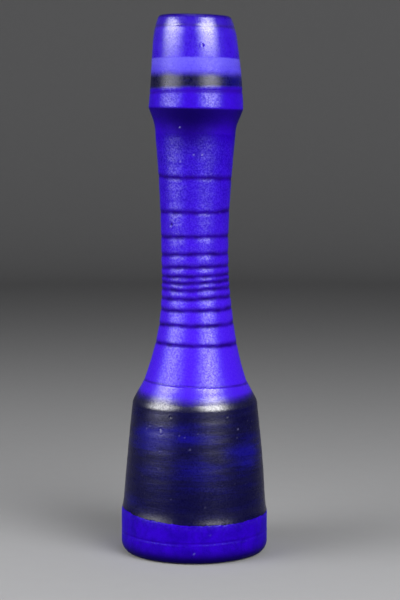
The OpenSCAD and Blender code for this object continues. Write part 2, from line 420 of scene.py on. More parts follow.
# Lines that slope: height, reach, then how far they shift all round, to the right, and at both sides, in mm
slopes = [
    (15.3, 5, 0.8, 0.65, 0.65),
    (30.3, 9, -0.6, -1.7, 2.4),
    (117, 5, 0.0, -0.2, 3.0),
    (129, 9, -0.5, -1.3, -0.15),
    (346, 5, 0.2, 1.5, -0.4),
    (368.8, 4, 0.0, 0.4, -0.4),
]
# Rings slope too: their height, and how far they rise to the right
ringSlopes = ((145, 155, 168, 256, 275, 296), (-0.6, -0.5, 0.5, 0.5, -1.2, 0))
# Pits in the glaze, and specks that stand out of it where the depth is negative:
# degrees round from the front, height, radius, depth, and how dark the pit's painted shade or how pale the
# speck's painted glint is
blemishes = [
    (10, 377.3, 0.9, 0.6, 1.0),
    (-43, 246.7, 1.2, 0.8, 1.0),
    (-31, 98.6, 0.8, 0.35, 1.0),
    (-22, 107.5, 0.9, 0.25, 0.8),
    (30, 107.7, 0.9, 0.25, 0.8),
    (-43, 100.2, 0.7, 0.25, 0.8),
    (-19, 134, 0.8, 0.2, 0.8),
    (112, 361, 1.0, 0.4, 0.9),
    (160, 180, 0.9, 0.4, 0.9),
    (-120, 268, 0.9, 0.4, 0.9),
    (-30.5, 96, 0.9, -0.45, 0.2),
    (-47, 97.5, 0.6, -0.25, 0.14),
    (-13, 94.6, 0.55, -0.2, 0.12),
    (-8.5, 93.3, 0.5, -0.2, 0.12),
    (2.5, 96, 0.5, -0.2, 0.12),
    (41, 97.6, 0.7, -0.3, 0.2),
    (-4, 84.6, 0.6, -0.25, 0.14),
    (-22, 317.8, 0.5, -0.25, 0.4),
    (-2, 298, 0.6, -0.25, 0.25),
    (10.6, 298.3, 0.7, -0.3, 0.4),
    (-22, 293, 0.6, -0.25, 0.25),
    (12, 22.5, 0.6, -0.1, 0.14),
    (0, 8.5, 0.5, -0.1, 0.2),
]
# The shape of a pit, in radii: how far it is felt, the raised rim round it, and how sharp its mark ends
pitForm = {"reach": 4, "rim": 0.3, "rimAt": 1.7, "rimWidth": 0.6, "markSharp": 1.1}


def smooth(value, low, high):
    part = np.clip((value - low) / (high - low), 0, 1)
    return part * part * (3 - 2 * part)


def swell(value, middle, width):
    return np.exp(-((value - middle) / width) ** 2)


def between(value, start, full, still, end):
    return smooth(value, start, full) * smooth(-value, -end, -still)


def waves(table, around, h):
    return sum(size * np.sin(count * around + climb * h + start) for size, count, climb, start in table)


speckForm = {
    "seed": 7,
    "count": 60,
    "onDrum": (36, 108),
    "onNeck": (135, 310),
    "neckShare": 3,  # every third one
    "size": (0.4, 0.65),
    "rise": -0.35,
    "shadeOrGlint": (0.03, 0.09),
}


def scatterSpecks():
    # small raised specks all over the dark coat and fewer on the neck, each with a painted glint
    f = speckForm
    chance = np.random.RandomState(f["seed"])
    for i in range(f["count"]):
        height = chance.uniform(*(f["onDrum"] if i % f["neckShare"] else f["onNeck"]))
        size = chance.uniform(*f["size"])
        turned = chance.uniform(-180, 180)
        blemishes.append((turned, height, size, f["rise"] * size, chance.uniform(*f["shadeOrGlint"])))


scatterSpecks()


def profileRadius(h):
    return np.interp(h * mm, outsideLine[:, 1], outsideLine[:, 0])


def slideOf(h, right, around):
    # how far the surface's own lines stray up or down along it
    t = thrownForm
    slide = sum(swell(h, middle, reach) * (whole + slope * right + sides * right ** 2)
                for middle, reach, whole, slope, sides in slopes)
    slide = mm * (slide + right * np.interp(h, *ringSlopes) * smooth(h, *t["ringSlopeFrom"]))
    lively = t["calm"] + (1 - t["calm"]) * between(h, *t["rings"])
    slide += t["wander"] * lively * waves(wanderWaves, around, h)
    atEdge = swell(h, drumForm["footTop"] / mm, t["raggedReach"])
    slide += t["ragged"] * atEdge * waves(raggedWaves, around, h)
    return slide * between(h, *t["lines"])


def pushOf(h, around, radius):
    # how far the face that shows stands out: oval, finger marks, glaze edges, pits and specks; and the pits'
    # painted shade and the specks' painted glints
    t = thrownForm
    edge = drumForm["footTop"] / mm
    standing = smooth(h, *t["standing"])
    push = t["oval"] * standing * ((np.cos(2 * around + 0.7) - 1) / 2 + 0.6 * np.sin(3 * around + h / 40))
    push += t["fingers"] * standing * waves(fingerWaves, around, h)
    drawn = np.sin(13 * around + 2) * np.sin(5 * around) + 0.6 * np.sin(53 * around) * np.sin(17 * around)
    push += t["bead"] * swell(h, edge - 1, 1.0) * drawn.clip(-1, 0.5) * (h < edge + 0.1)
    above = (h > edge - 0.01) * (radius < drumForm["footRadius"] + coatForm["foot"] - 0.2 * mm)
    rise = (h - edge).clip(0)
    fillet = t["fillet"][0] * np.exp(-rise / t["fillet"][1])
    push += above * (fillet - t["thinned"][0] * np.exp(-rise / t["thinned"][1]))
    pitShade = np.zeros(len(h))
    speckGlints = np.zeros(len(h))
    p = pitForm
    for turned, height, size, depth, shadeOrGlint in blemishes:
        near = np.abs(h - height) < p["reach"] * size
        gap = np.angle(np.exp(1j * (around[near] - math.radians(turned - 90)))) * radius[near] / mm
        away = np.hypot(gap, h[near] - height) / size
        push[near] -= depth * mm * (np.exp(-away ** 2) - p["rim"] * swell(away, p["rimAt"], p["rimWidth"]))
        # a pit gets painted shade, a speck a painted glint
        mark = pitShade if depth > 0 else speckGlints
        mark[near] = np.maximum(mark[near], shadeOrGlint * np.exp(-(p["markSharp"] * away) ** 3))
    return push, pitShade, speckGlints


def throwByHand(piece):
    t = thrownForm
    mesh = piece.data
    place = readPlaces(mesh)
    outer = readMark(mesh, "outer")
    x, y, z = place.T.copy()
    radius = np.hypot(x, y)
    around = np.arctan2(y, x)
    h = z / mm
    writeMark(mesh, "level", z)
    slide = slideOf(h, np.cos(around), around) * smooth(radius / mm, *t["stillCentre"])
    follow = profileRadius(h + slide / mm) - profileRadius(h)
    push, pitShade, speckGlints = pushOf(h, around, radius)
    radius = radius + outer * push + follow
    if "line" in mesh.attributes:
        # paler lines at front and back near the rim and the shoulder's line: painted highlight
        faint = np.maximum(smooth(h, *t["faintFrom"]), swell(h, neckForm["low"] / mm, 4))
        lines = readMark(mesh, "line") * (1 - t["faintLine"] * faint * np.sin(around) ** 2)
        # pits carry their painted shade into the line mark
        writeMark(mesh, "line", np.maximum(lines, pitShade * outer))
        # the specks' painted glints
        writeMark(mesh, "paintedGlint", speckGlints * outer)
    swayX = sum(size * swell(h, middle, width) for size, middle, width in t["sways"])
    swayX = swayX + t["offFoot"][0] * smooth(h, *t["offFoot"][1:])
    swayY = t["backSway"][0] * smooth(h, *t["standing"]) * np.sin(h / t["backSway"][1] + 1)
    tilted = math.tan(t["collarTilt"]) * (x + collarForm["lipRing"]) * smooth(h, *t["tiltRise"])
    place[:, 0] = radius * np.cos(around) + swayX
    place[:, 1] = radius * np.sin(around) + swayY
    place[:, 2] = z + slide - tilted
    mesh.vertices.foreach_set("co", place.ravel())
    mesh.update()


def finishPiece(piece, node, smoothUpTo=48):
    throwByHand(piece)
    bpy.ops.object.select_all(action="DESELECT")
    piece.select_set(True)
    bpy.context.view_layer.objects.active = piece
    bpy.ops.object.shade_smooth_by_angle(angle=math.radians(smoothUpTo))
    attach(piece, "root")
    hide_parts(node)
    print(piece.name, len(piece.data.polygons), "faces")
    return piece


def clayRun(start, end, step):
    stops = np.linspace(start, end, max(2, round(abs(end - start) / step) + 1))
    return [tuple(onPath(along)[0]) for along in stops]


def makeCoat(name, node, slot, low, high, thickness=coatThickness, segments=288, row=0.9 * mm):
    start, end = borders[low], borders[high]
    outside = []
    marks = []
    for along in rowsAlong(start, end, row):
        point, normal = onPath(along)
        outside.append(tuple(point + normal * (thickness(along) - lineDepth(along))))
        marks.append(lineMark(along))
    clay = clayRun(end, start, coatForm["clayRow"])
    bare = [0.0] * len(clay)
    marked = {"outer": [1.0] * len(outside) + bare, "line": marks + bare}
    return finishPiece(lathe(name, outside + clay, marked, segments=segments), node)


borders = {
    "foot": alongAt(rimForm["footBare"]),
    "drum": alongAt(drumForm["footTop"]),
    "shoulder": alongAt(118.5 * mm),
    "neck": alongAt(neckForm["low"]),
    "skirt": alongAt(neckForm["high"]),
    "dark": alongAt(346.8 * mm),
    "pale": alongAt(357.3 * mm),
    "rim": alongAt(368.8 * mm),
    "end": float(pathAlong[-1]),
}
closeRows = {"segments": 384, "row": 0.6 * mm}
footCoat = makeCoat("footCoat", "foot_glaze", "cobalt_glaze", "foot", "drum", footThickness)
drumCoat = makeCoat("drumCoat", "drum_glaze", "dark_glaze", "drum", "shoulder", **closeRows)
shoulderCoat = makeCoat("shoulderCoat", "shoulder_glaze", "cobalt_glaze", "shoulder", "neck")
neckCoat = makeCoat("neckCoat", "neck_glaze", "cobalt_glaze", "neck", "skirt", segments=256)
skirtCoat = makeCoat("skirtCoat", "skirt_glaze", "cobalt_glaze", "skirt", "dark")
collarDark = makeCoat("collarDark", "collar_dark_glaze", "dark_glaze", "dark", "pale")
collarPale = makeCoat("collarPale", "collar_pale_glaze", "pale_glaze", "pale", "rim")
rimCoat = makeCoat("rimCoat", "rim_glaze", "cobalt_glaze", "rim", "end", **closeRows)

# The three thrown sections, and the slip that joins them over a tongue on the inner half of the wall
luteForm = {"tongue": 4 * mm, "slip": 0.6 * mm}


def luteFace(seam, up=0.0):
    # a joint's face from outside to inside, on the lower section or, up by the slip, on the upper one
    rise = seam + luteForm["tongue"]
    step = (onPath(alongAt(seam))[0][0] + innerRadius(rise)) / 2 + up
    return [(onPath(alongAt(seam + up))[0][0], seam + up), (step, seam + up), (step, rise + up),
            (innerRadius(rise + up), rise + up)]


def floorCorner(thick=0.0):
    # the round between floor and wall inside, going up, for a surface that lies thick inside the clay
    d = drumForm
    size = d["floorRoll"] - thick
    middle = (innerRadius(d["floor"] + d["floorRoll"]) - d["floorRoll"], d["floor"] + d["floorRoll"])
    return [(middle[0] + size * math.sin(a), middle[1] - size * math.cos(a))
            for a in np.linspace(0, math.pi / 2, 12)]


def makeDrum():
    d = drumForm
    ringIn = d["footRadius"] - d["footRoll"] - d["ringWidth"]
    outline = [(0, d["recess"]), (ringIn - d["recess"], d["recess"]), (ringIn, 0)]
    outline += clayRun(0, borders["neck"], 1 * mm)[:-1] + luteFace(neckForm["low"])
    outline += insideRun(d["floor"] + d["floorRoll"], neckForm["low"] + luteForm["tongue"])[-2:0:-1]
    outline += floorCorner()[::-1] + [(0, d["floor"])]
    return finishPiece(lathe("drumClay", outline, closed=False), "drum", smoothUpTo=30)


def makeSlip(name, node, seam):
    return finishPiece(lathe(name, luteFace(seam) + luteFace(seam, luteForm["slip"])[::-1]), node)


def makeNeck():
    slip = luteForm["slip"]
    tongue = luteForm["tongue"]
    low, high = neckForm["low"], neckForm["high"]
    outline = clayRun(alongAt(low + slip), borders["skirt"], 3 * mm)[:-1] + luteFace(high)
    outline += insideRun(low + tongue + slip, high + tongue)[-2:0:-1] + luteFace(low, slip)[:0:-1]
    return finishPiece(lathe("neckClay", outline), "neck")


def makeCollar():
    slip = luteForm["slip"]
    seam = neckForm["high"]
    lipEnd = float(pathAlong[-1]) - (collarForm["lip"] - rimForm["lap"])
    outline = clayRun(alongAt(seam + slip), lipEnd, 1 * mm)
    outline += insideRun(seam + luteForm["tongue"] + slip, collarForm["lip"])[-2:0:-1]
    outline += luteFace(seam, slip)[:0:-1]
    return finishPiece(lathe("collarClay", outline), "collar")


drumClay = makeDrum()
shoulderSlip = makeSlip("shoulderSlip", "shoulder_slip", neckForm["low"])
neckClay = makeNeck()
collarSlip = makeSlip("collarSlip", "collar_slip", neckForm["high"])
collarClay = makeCollar()

# The lining, with the potter's finger marks climbing the inside
liningForm = {
    "thickness": 0.5 * mm,
    "fingers": 0.14 * mm,
    "fingersFrom": (20 * mm, 30 * mm),
    "climb": 10 * mm,
    "row": 1.5 * mm,
}


def makeLining():
    d = drumForm
    thick = liningForm["thickness"]
    wall = insideRun(d["floor"] + d["floorRoll"], rimForm["lap"], liningForm["row"])[1:]
    clay = [(0, d["floor"])] + floorCorner() + wall
    shown = [(0, d["floor"] + thick)] + floorCorner(thick) + [(r - thick, z) for r, z in wall]
    marks = {"shown": [0.0] * len(clay) + [1.0] * len(shown)}
    piece = lathe("lining", clay + shown[::-1], marks, closed=False, segments=160)
    place = readPlaces(piece.data)
    around = np.arctan2(place[:, 1], place[:, 0])
    swing = 0.5 + 0.5 * np.sin(2 * math.pi * place[:, 2] / liningForm["climb"] + around)
    onWall = readMark(piece.data, "shown") * smooth(place[:, 2], *liningForm["fingersFrom"])
    radius = np.hypot(*place[:, :2].T).clip(mm)
    place[:, :2] *= (1 - onWall * liningForm["fingers"] * swing / radius)[:, None]
    piece.data.vertices.foreach_set("co", place.ravel())
    return finishPiece(piece, "liner_glaze")


lining = makeLining()

# Where the dark coat lies thin and the blue below it shows: degrees from the front, height in mm,
# how far it spreads both ways, and how thin it is
thinPatches = [
    (-8, 94, 30, 10, 0.7),
    (-36, 91, 26, 10, 1.15),
    (50, 78, 24, 11, 0.9),
    (6, 68, 22, 13, 0.5),
    (-40, 66, 18, 10, 0.25),
    (-62, 40, 16, 8, 0.3),
    (66, 350, 30, 8, 0.75),
    (120, 84, 26, 9, 0.7),
    (155, 58, 20, 9, 0.55),
    (-165, 92, 24, 7, 0.75),
    (-128, 66, 22, 10, 0.6),
    (-150, 352, 24, 6, 0.5),
]
# Where the painted shade under the collar is darkest: degrees from the front, and how far it spreads
shadePatches = [(-6, 42), (112, 46), (-128, 42)]


def degreesFrom(place, turned):
    around = np.degrees(np.arctan2(place[:, 0], -place[:, 1]))
    return (around - turned + 180) % 360 - 180


def markThinPatches(piece):
    place = readPlaces(piece.data)
    thin = np.zeros(len(place))
    for turned, height, wide, tall, much in thinPatches:
        patch = swell(degreesFrom(place, turned), 0, wide) * swell(place[:, 2] / mm, height, tall)
        thin = np.maximum(thin, much * patch)
    writeMark(piece.data, "thin", thin)


def markShadePatches(piece):
    # marks where the painted shade under the collar is darkest
    place = readPlaces(piece.data)
    darkened = np.max([swell(degreesFrom(place, turned), 0, wide) for turned, wide in shadePatches], axis=0)
    writeMark(piece.data, "darkened", darkened)


for piece in (drumCoat, shoulderCoat, skirtCoat, collarDark, collarPale, rimCoat):
    markThinPatches(piece)
for piece in (neckCoat, skirtCoat):
    markShadePatches(piece)
print("pieces made")


# Small helpers for the materials' nodes
def addNode(tree, kind, **settings):
    made = tree.nodes.new(kind)
    for key, value in settings.items():
        setattr(made, key, value)
    return made


def feed(tree, socket, value):
    if isinstance(value, bpy.types.NodeSocket):
        tree.links.new(value, socket)
    else:
        socket.default_value = value


def wire(tree, kind, values, **settings):
    # a node with its settings, and its sockets fed by their place or name
    made = addNode(tree, kind, **settings)
    for key, value in values:
        feed(tree, made.inputs[key], value)
    return made.outputs


def calc(tree, operation, *values, clamp=False):
    return wire(tree, "ShaderNodeMath", enumerate(values), operation=operation, use_clamp=clamp)[0]


def times(tree, a, b):
    return calc(tree, "MULTIPLY", a, b)


def plus(tree, a, b):
    return calc(tree, "ADD", a, b)


def centred(tree, value, size):
    # a mask made to swing evenly about nought
    return times(tree, calc(tree, "SUBTRACT", value, 0.5), size)


def mixColour(tree, factor, a, b):
    return wire(tree, "ShaderNodeMix", ((0, factor), (6, a), (7, b)), data_type="RGBA")[2]


def spread(tree, value, low, high, to=(0.0, 1.0)):
    values = enumerate((value, low, high, *to))
    return wire(tree, "ShaderNodeMapRange", values, interpolation_type="SMOOTHSTEP")[0]


def noise(tree, vector, scale, detail, rough):
    values = {"Vector": vector, "Scale": scale, "Detail": detail, "Roughness": rough}
    return wire(tree, "ShaderNodeTexNoise", values.items())["Fac"]


def split(tree, vector):
    return wire(tree, "ShaderNodeSeparateXYZ", [(0, vector)])


def join(tree, *values):
    return wire(tree, "ShaderNodeCombineXYZ", enumerate(values))[0]


def markOn(tree, name):
    return addNode(tree, "ShaderNodeAttribute", attribute_name=name).outputs["Fac"]


def startGroup(name, inputs, outputs):
    tree = bpy.data.node_groups.new(name, "ShaderNodeTree")
    for key, value in inputs.items():
        made = tree.interface.new_socket(key, in_out="INPUT", socket_type="NodeSocketFloat")
        made.default_value = value
    for key in outputs:
        tree.interface.new_socket(key, in_out="OUTPUT", socket_type="NodeSocketFloat")
    start = addNode(tree, "NodeGroupInput")
    end = addNode(tree, "NodeGroupOutput")
    where = addNode(tree, "ShaderNodeTexCoord").outputs["Object"]
    return tree, start.outputs, end.inputs, where


def roundCoords(tree, where, around, up):
    # coordinates that run round the vase without a seam: stretched by around, squeezed by up
    x, y, z = split(tree, where)
    flat = wire(tree, "ShaderNodeVectorMath", [(0, join(tree, x, y))], operation="NORMALIZE")[0]
    right, back, _ = split(tree, flat)
    return join(tree, times(tree, right, around), times(tree, back, around), times(tree, z, up))


def makeGrainGroup():
    # orange peel, fine grain, slow mottling and small burst bubbles of a stoneware glaze
    sizes = {"Peel": 720.0, "Fine": 760.0, "Mottle": 110.0, "Bubbles": 170.0}
    tree, given, out, where = startGroup("glazeGrain", sizes, tuple(sizes))
    small = noise(tree, where, given["Peel"], detail=2.0, rough=0.55)
    small.node.inputs["Distortion"].default_value = 0.6
    broad = noise(tree, where, times(tree, given["Peel"], 0.33), detail=2.0, rough=0.5)
    fine = noise(tree, where, given["Fine"], detail=2.0, rough=0.6)
    mottle = noise(tree, where, given["Mottle"], detail=5.0, rough=0.65)
    cells = wire(tree, "ShaderNodeTexVoronoi", (("Vector", where), ("Scale", given["Bubbles"])))
    peel = plus(tree, times(tree, small, 0.7), times(tree, broad, 0.5))
    feed(tree, out["Peel"], calc(tree, "SUBTRACT", peel, 0.6))
    feed(tree, out["Fine"], spread(tree, fine, 0.36, 0.66))
    feed(tree, out["Mottle"], spread(tree, mottle, 0.3, 0.7))
    feed(tree, out["Bubbles"], spread(tree, cells["Distance"], 0.12, 0.03))
    return tree


def makeEdgeGroup():
    # 0 below a wandering edge at a height, 1 above it
    sizes = {"Height": 0.1, "Soft": 0.002, "Wander": 0.001}
    tree, given, out, where = startGroup("bandEdge", sizes, ("Mask",))
    slow = noise(tree, roundCoords(tree, where, 3.0, 40.0), 1.0, detail=3.0, rough=0.6)
    ragged = noise(tree, roundCoords(tree, where, 14.0, 900.0), 1.0, detail=2.0, rough=0.6)
    stray = plus(tree, centred(tree, slow, 3.0), centred(tree, ragged, 1.0))
    moved = calc(tree, "MULTIPLY_ADD", stray, given["Wander"], markOn(tree, "level"))
    low = calc(tree, "SUBTRACT", given["Height"], given["Soft"])
    high = plus(tree, given["Height"], given["Soft"])
    feed(tree, out["Mask"], spread(tree, moved, low, high))
    return tree


def makeBrushGroup():
    # streaks left by a broad brush held against the turning vase: fine hairs over wide bands
    tree, given, out, where = startGroup("brushMarks", {"Around": 2.0, "Up": 700.0}, ("Streak", "Band"))
    close = roundCoords(tree, where, given["Around"], given["Up"])
    hairs = noise(tree, close, 1.0, detail=4.0, rough=0.6)
    wide = roundCoords(tree, where, 1.4, times(tree, given["Up"], 0.2))
    band = noise(tree, wide, 1.0, detail=3.0, rough=0.55)
    feed(tree, out["Streak"], spread(tree, hairs, 0.3, 0.7))
    feed(tree, out["Band"], spread(tree, band, 0.3, 0.7))
    return tree


glazeGrain = makeGrainGroup()
bandEdge = makeEdgeGroup()
brushMarks = makeBrushGroup()


def useGroup(tree, group, **values):
    return wire(tree, "ShaderNodeGroup", values.items(), node_tree=group)


def startMaterial(name):
    made = bpy.data.materials.new(name)
    made.use_nodes = True
    tree = made.node_tree
    return made, tree, tree.nodes["Principled BSDF"]


def addBump(tree, shader, height):
    # height is in metres
    bumped = wire(tree, "ShaderNodeBump", (("Distance", 1.0), ("Height", height)))[0]
    feed(tree, shader.inputs["Normal"], bumped)


# Heights below are in mm and those of a true turning, so what they colour strays with the lines.
# A ramp is two heights, and the values at them where these aren't 0 and 1. A band is four heights
def heightRamp(tree, low, high, to=(0.0, 1.0)):
    return spread(tree, markOn(tree, "level"), low * mm, high * mm, to)


def heightBand(tree, start, full, still, end):
    # 0 outside the band, 1 within it
    return times(tree, heightRamp(tree, start, full), heightRamp(tree, end, still))


glazeColours = {
    "deep": (0.012, 0.0, 0.29, 1),
    "bright": (0.025, 0.0, 0.48, 1),
    # brighter blue where the glaze ran down the neck, partly painted light where it faces up
    "runAndLitBlue": (0.045, 0.006, 0.6, 1),
    "line": (0.01, 0.0, 0.15, 1),
    "darkened": (0.008, 0.0, 0.14, 1),
    # painted shade, under the collar and towards the foot ring
    "paintedShade": (0.003, 0.0, 0.065, 1),
    "night": (0.001, 0.0006, 0.024, 1),
    "nightBlue": (0.003, 0.001, 0.15, 1),
    "pale": (0.09, 0.07, 0.56, 1),
    # painted glint on the specks
    "paintedGlint": (0.42, 0.40, 0.75, 1),
}
# Where one colour gives way to the next: height, how softly, and how far the edge wanders, in mm
colourEdges = {
    "drumTop": (118.6, 4.8, 0.9),
    "bandLow": (347.0, 1.9, 0.6),
    "bandHigh": (356.9, 3.4, 0.9),
    "paleHigh": (368.7, 0.7, 0.3),
}


def edgeMask(tree, name):
    height, soft, wander = (size * mm for size in colourEdges[name])
    return useGroup(tree, bandEdge, Height=height, Soft=soft, Wander=wander)["Mask"]


def clouded(tree, grain, fine):
    # slow mottling with a share of fine grain
    slow = times(tree, grain["Mottle"], 1 - fine)
    return calc(tree, "MULTIPLY_ADD", grain["Fine"], fine, slow)


# the band of the brighter blue: glaze that ran, partly painted light on the upward-facing low neck
blueForm = {"runAndLitBand": (100, 130, 145, 310), "lineDark": 1.1, "lineMottle": -0.4}


def blueBody(tree, grain, fine=0.5):
    # cobalt over stoneware: mottled; brighter on the low neck, where the glaze ran and, in part, painted
    # light where the neck faces up; dark in a cut line, partly painted shade
    c, f = glazeColours, blueForm
    body = mixColour(tree, clouded(tree, grain, fine), c["deep"], c["bright"])
    body = mixColour(tree, heightBand(tree, *f["runAndLitBand"]), body, c["runAndLitBlue"])
    uneven = calc(tree, "MULTIPLY_ADD", grain["Mottle"], f["lineMottle"], f["lineDark"])
    lines = calc(tree, "MULTIPLY", markOn(tree, "line"), uneven, clamp=True)
    return mixColour(tree, lines, body, c["line"])


def withPaintedGlints(tree, colour):
    # burst bubbles get a pale painted glint
    return mixColour(tree, markOn(tree, "paintedGlint"), colour, glazeColours["paintedGlint"])


darkForm = {"hairs": 0.18, "grain": 0.14, "bands": 0.22, "broken": (0.7, 1.0), "cover": (-0.1, 1.05)}


def darkBody(tree, grain, brush):
    # a dark wash brushed over the blue, thin in patches
    c, f = glazeColours, darkForm
    hair = centred(tree, brush["Streak"], f["hairs"])
    hair = plus(tree, hair, centred(tree, grain["Fine"], f["grain"]))
    band = centred(tree, brush["Band"], f["bands"])
    broken = spread(tree, plus(tree, brush["Band"], hair), 0.1, 0.9, f["broken"])
    patch = times(tree, markOn(tree, "thin"), broken)
    thin = plus(tree, patch, plus(tree, hair, band))
    return mixColour(tree, spread(tree, thin, *f["cover"]), c["night"], c["nightBlue"])


def shoulderColour(tree, grain, brush):
    return mixColour(tree, edgeMask(tree, "drumTop"), darkBody(tree, grain, brush), blueBody(tree, grain))


collarShadeForm = {"far": (288, 325), "near": (309, 329, (0.0, 0.78))}


def shadeUnderCollar(tree, blue):
    # painted shade under the collar: it reaches far down the neck in the patches, and only into the flare
    # beside them
    darkened = markOn(tree, "darkened")
    far = times(tree, darkened, heightRamp(tree, *collarShadeForm["far"]))
    beside = calc(tree, "SUBTRACT", 1.0, darkened)
    dark = calc(tree, "MULTIPLY_ADD", beside, heightRamp(tree, *collarShadeForm["near"]), far)
    return mixColour(tree, dark, blue, glazeColours["paintedShade"])


collarTints = {
    "runAndLitBlue": 0.22,
    "arris": (331, 333),
    "washed": 0.16,
    "thinningAndShade": (366, 357, (0.0, 0.3)),
    "bevel": (390.5, 393.5, (0.0, 0.3)),
    "lip": (395, 399.8),
}


def collarColour(tree, grain, brush):
    c, f = glazeColours, collarTints
    blue = mixColour(tree, f["runAndLitBlue"], blueBody(tree, grain), c["runAndLitBlue"])
    # below the arris: painted shade under the collar
    outer = mixColour(tree, heightRamp(tree, *f["arris"]), shadeUnderCollar(tree, blue), blue)
    low = mixColour(tree, edgeMask(tree, "bandLow"), outer, darkBody(tree, grain, brush))
    washed = times(tree, plus(tree, brush["Streak"], brush["Band"]), f["washed"])
    thinningAndShade = plus(tree, washed, heightRamp(tree, *f["thinningAndShade"]))
    paleWash = mixColour(tree, thinningAndShade, c["pale"], c["bright"])
    pale = mixColour(tree, edgeMask(tree, "bandHigh"), low, paleWash)
    lip = calc(tree, "MAXIMUM", heightRamp(tree, *f["bevel"]), heightRamp(tree, *f["lip"]))
    rim = mixColour(tree, lip, blue, c["darkened"])
    return mixColour(tree, edgeMask(tree, "paleHigh"), pale, rim)


def neckColour(tree, grain, brush):
    # painted shade under the collar
    return shadeUnderCollar(tree, blueBody(tree, grain))


def plainBlue(tree, grain, brush):
    return blueBody(tree, grain)


# the heights over which the foot's painted shade fades out
footTints = {"fine": 0.1, "thinningAndShade": (2, 13, (1.0, 0.1))}


def footColour(tree, grain, brush):
    # darker towards the foot ring: painted shade
    blue = blueBody(tree, grain, footTints["fine"])
    return mixColour(tree, heightRamp(tree, *footTints["thinningAndShade"]), blue, glazeColours["paintedShade"])


# A glaze: how rough its body is, how deep its orange peel, hairs and bubbles are,
# the clear coat where it is wet, and how far the grain dulls that. Peel, hairs and dulled may be ramps
plainGlaze = {
    "rough": (0.3, 0.4),
    "fine": 0.6,
    "specular": 0.3,
    "peel": 0.2 * mm,
    "hairs": 0.0,
    "bubbles": 0.05 * mm,
    "coatRough": 0.18,
    "coatIor": 1.9,
    "dulled": 0.6,
}


def valueOf(tree, given):
    return heightRamp(tree, *given) if isinstance(given, tuple) else given


def glazeMaterial(name, colourOf, glossOf=None, **changes):
    # colourOf gives the base colour from the tree, the grain and the brush marks,
    # and glossOf the clear coat's weight
    form = {**plainGlaze, **changes}
    made, tree, shader = startMaterial(name)
    grain = useGroup(tree, glazeGrain)
    brush = useGroup(tree, brushMarks)
    feed(tree, shader.inputs["Base Color"], withPaintedGlints(tree, colourOf(tree, grain, brush)))
    rough = spread(tree, clouded(tree, grain, form["fine"]), 0.0, 1.0, form["rough"])
    feed(tree, shader.inputs["Roughness"], rough)
    shader.inputs["Specular IOR Level"].default_value = form["specular"]
    shader.inputs["Coat Roughness"].default_value = form["coatRough"]
    shader.inputs["Coat IOR"].default_value = form["coatIor"]
    if glossOf:
        dry = calc(tree, "SUBTRACT", 1.0, grain["Fine"])
        kept = calc(tree, "SUBTRACT", 1.0, times(tree, valueOf(tree, form["dulled"]), dry))
        feed(tree, shader.inputs["Coat Weight"], calc(tree, "MULTIPLY", glossOf(tree), kept, clamp=True))
    height = times(tree, grain["Peel"], valueOf(tree, form["peel"]))
    height = calc(tree, "MULTIPLY_ADD", grain["Bubbles"], form["bubbles"], height)
    if form["hairs"]:
        height = calc(tree, "MULTIPLY_ADD", brush["Streak"], valueOf(tree, form["hairs"]), height)
    addBump(tree, shader, height)
    return made


drumShine = {
    "turn": (110.3, 113, 114.8, 119),
    "turnWeight": 0.7,
    "coneFrom": (111, 115),
    "cone": (117, 123, (0.66, 0.46)),
    "lineWeight": 0.5,
    "wall": (36, 107, (0.037, 0.135)),
    "low": (26, 29, 33, 42),
    "lowWeight": 0.1,
}


def drumGloss(tree):
    # wettest where the dark coat turns over the shoulder, in the line at the neck's foot,
    # and just above the foot's coat
    f = drumShine
    turn = times(tree, heightBand(tree, *f["turn"]), f["turnWeight"])
    cone = times(tree, heightRamp(tree, *f["coneFrom"]), heightRamp(tree, *f["cone"]))
    line = times(tree, markOn(tree, "line"), f["lineWeight"])
    high = calc(tree, "MAXIMUM", calc(tree, "MAXIMUM", turn, cone), line)
    wall = calc(tree, "MAXIMUM", high, heightRamp(tree, *f["wall"]))
    return calc(tree, "MULTIPLY_ADD", heightBand(tree, *f["low"]), f["lowWeight"], wall)


footShine = {"bead": (24, 29.8, (0.01, 0.14)), "belowLine": (12.8, 13.6, 14.2, 15), "belowLineWeight": 0.1}


def footGloss(tree):
    # wet at the bead, and a little below the fine line
    f = footShine
    bead = heightRamp(tree, *f["bead"])
    return calc(tree, "MULTIPLY_ADD", heightBand(tree, *f["belowLine"]), f["belowLineWeight"], bead)


collarShine = {
    "body": (368, 389, (0.22, 0.74)),
    "rimLine": (385, 390, 395, 398),
    "rimLineWeight": 0.35,
    "paleBand": -0.4,
    "arris": (331, 334),
    "lowEdge": (343, 349, (1.6, 1.0)),
    "lip": (396.5, 399, (1.0, 0.3)),
    "lowLine": (352, 347),
    "dryLine": (1.0, 0.15),
}


def collarGloss(tree):
    # wet round the rim's line, dry at the lip, on the pale band and on the flare below
    f = collarShine
    rimLine = times(tree, heightBand(tree, *f["rimLine"]), f["rimLineWeight"])
    body = plus(tree, rimLine, heightRamp(tree, *f["body"]))
    band = calc(tree, "SUBTRACT", edgeMask(tree, "bandHigh"), edgeMask(tree, "paleHigh"))
    glossy = calc(tree, "MULTIPLY_ADD", band, f["paleBand"], body)
    below = times(tree, heightRamp(tree, *f["arris"]), heightRamp(tree, *f["lowEdge"]))
    cut = times(tree, markOn(tree, "line"), heightRamp(tree, *f["lowLine"]))
    dry = times(tree, heightRamp(tree, *f["lip"]), spread(tree, cut, 0.0, 1.0, f["dryLine"]))
    return times(tree, times(tree, glossy, below), dry)


neckShine = {
    "body": (190, 135, (0.48, 0.45)),
    "flare": (314.5, 300),
    "rings": (132, 138),
    "dullRing": (1.0, 0.08),
}


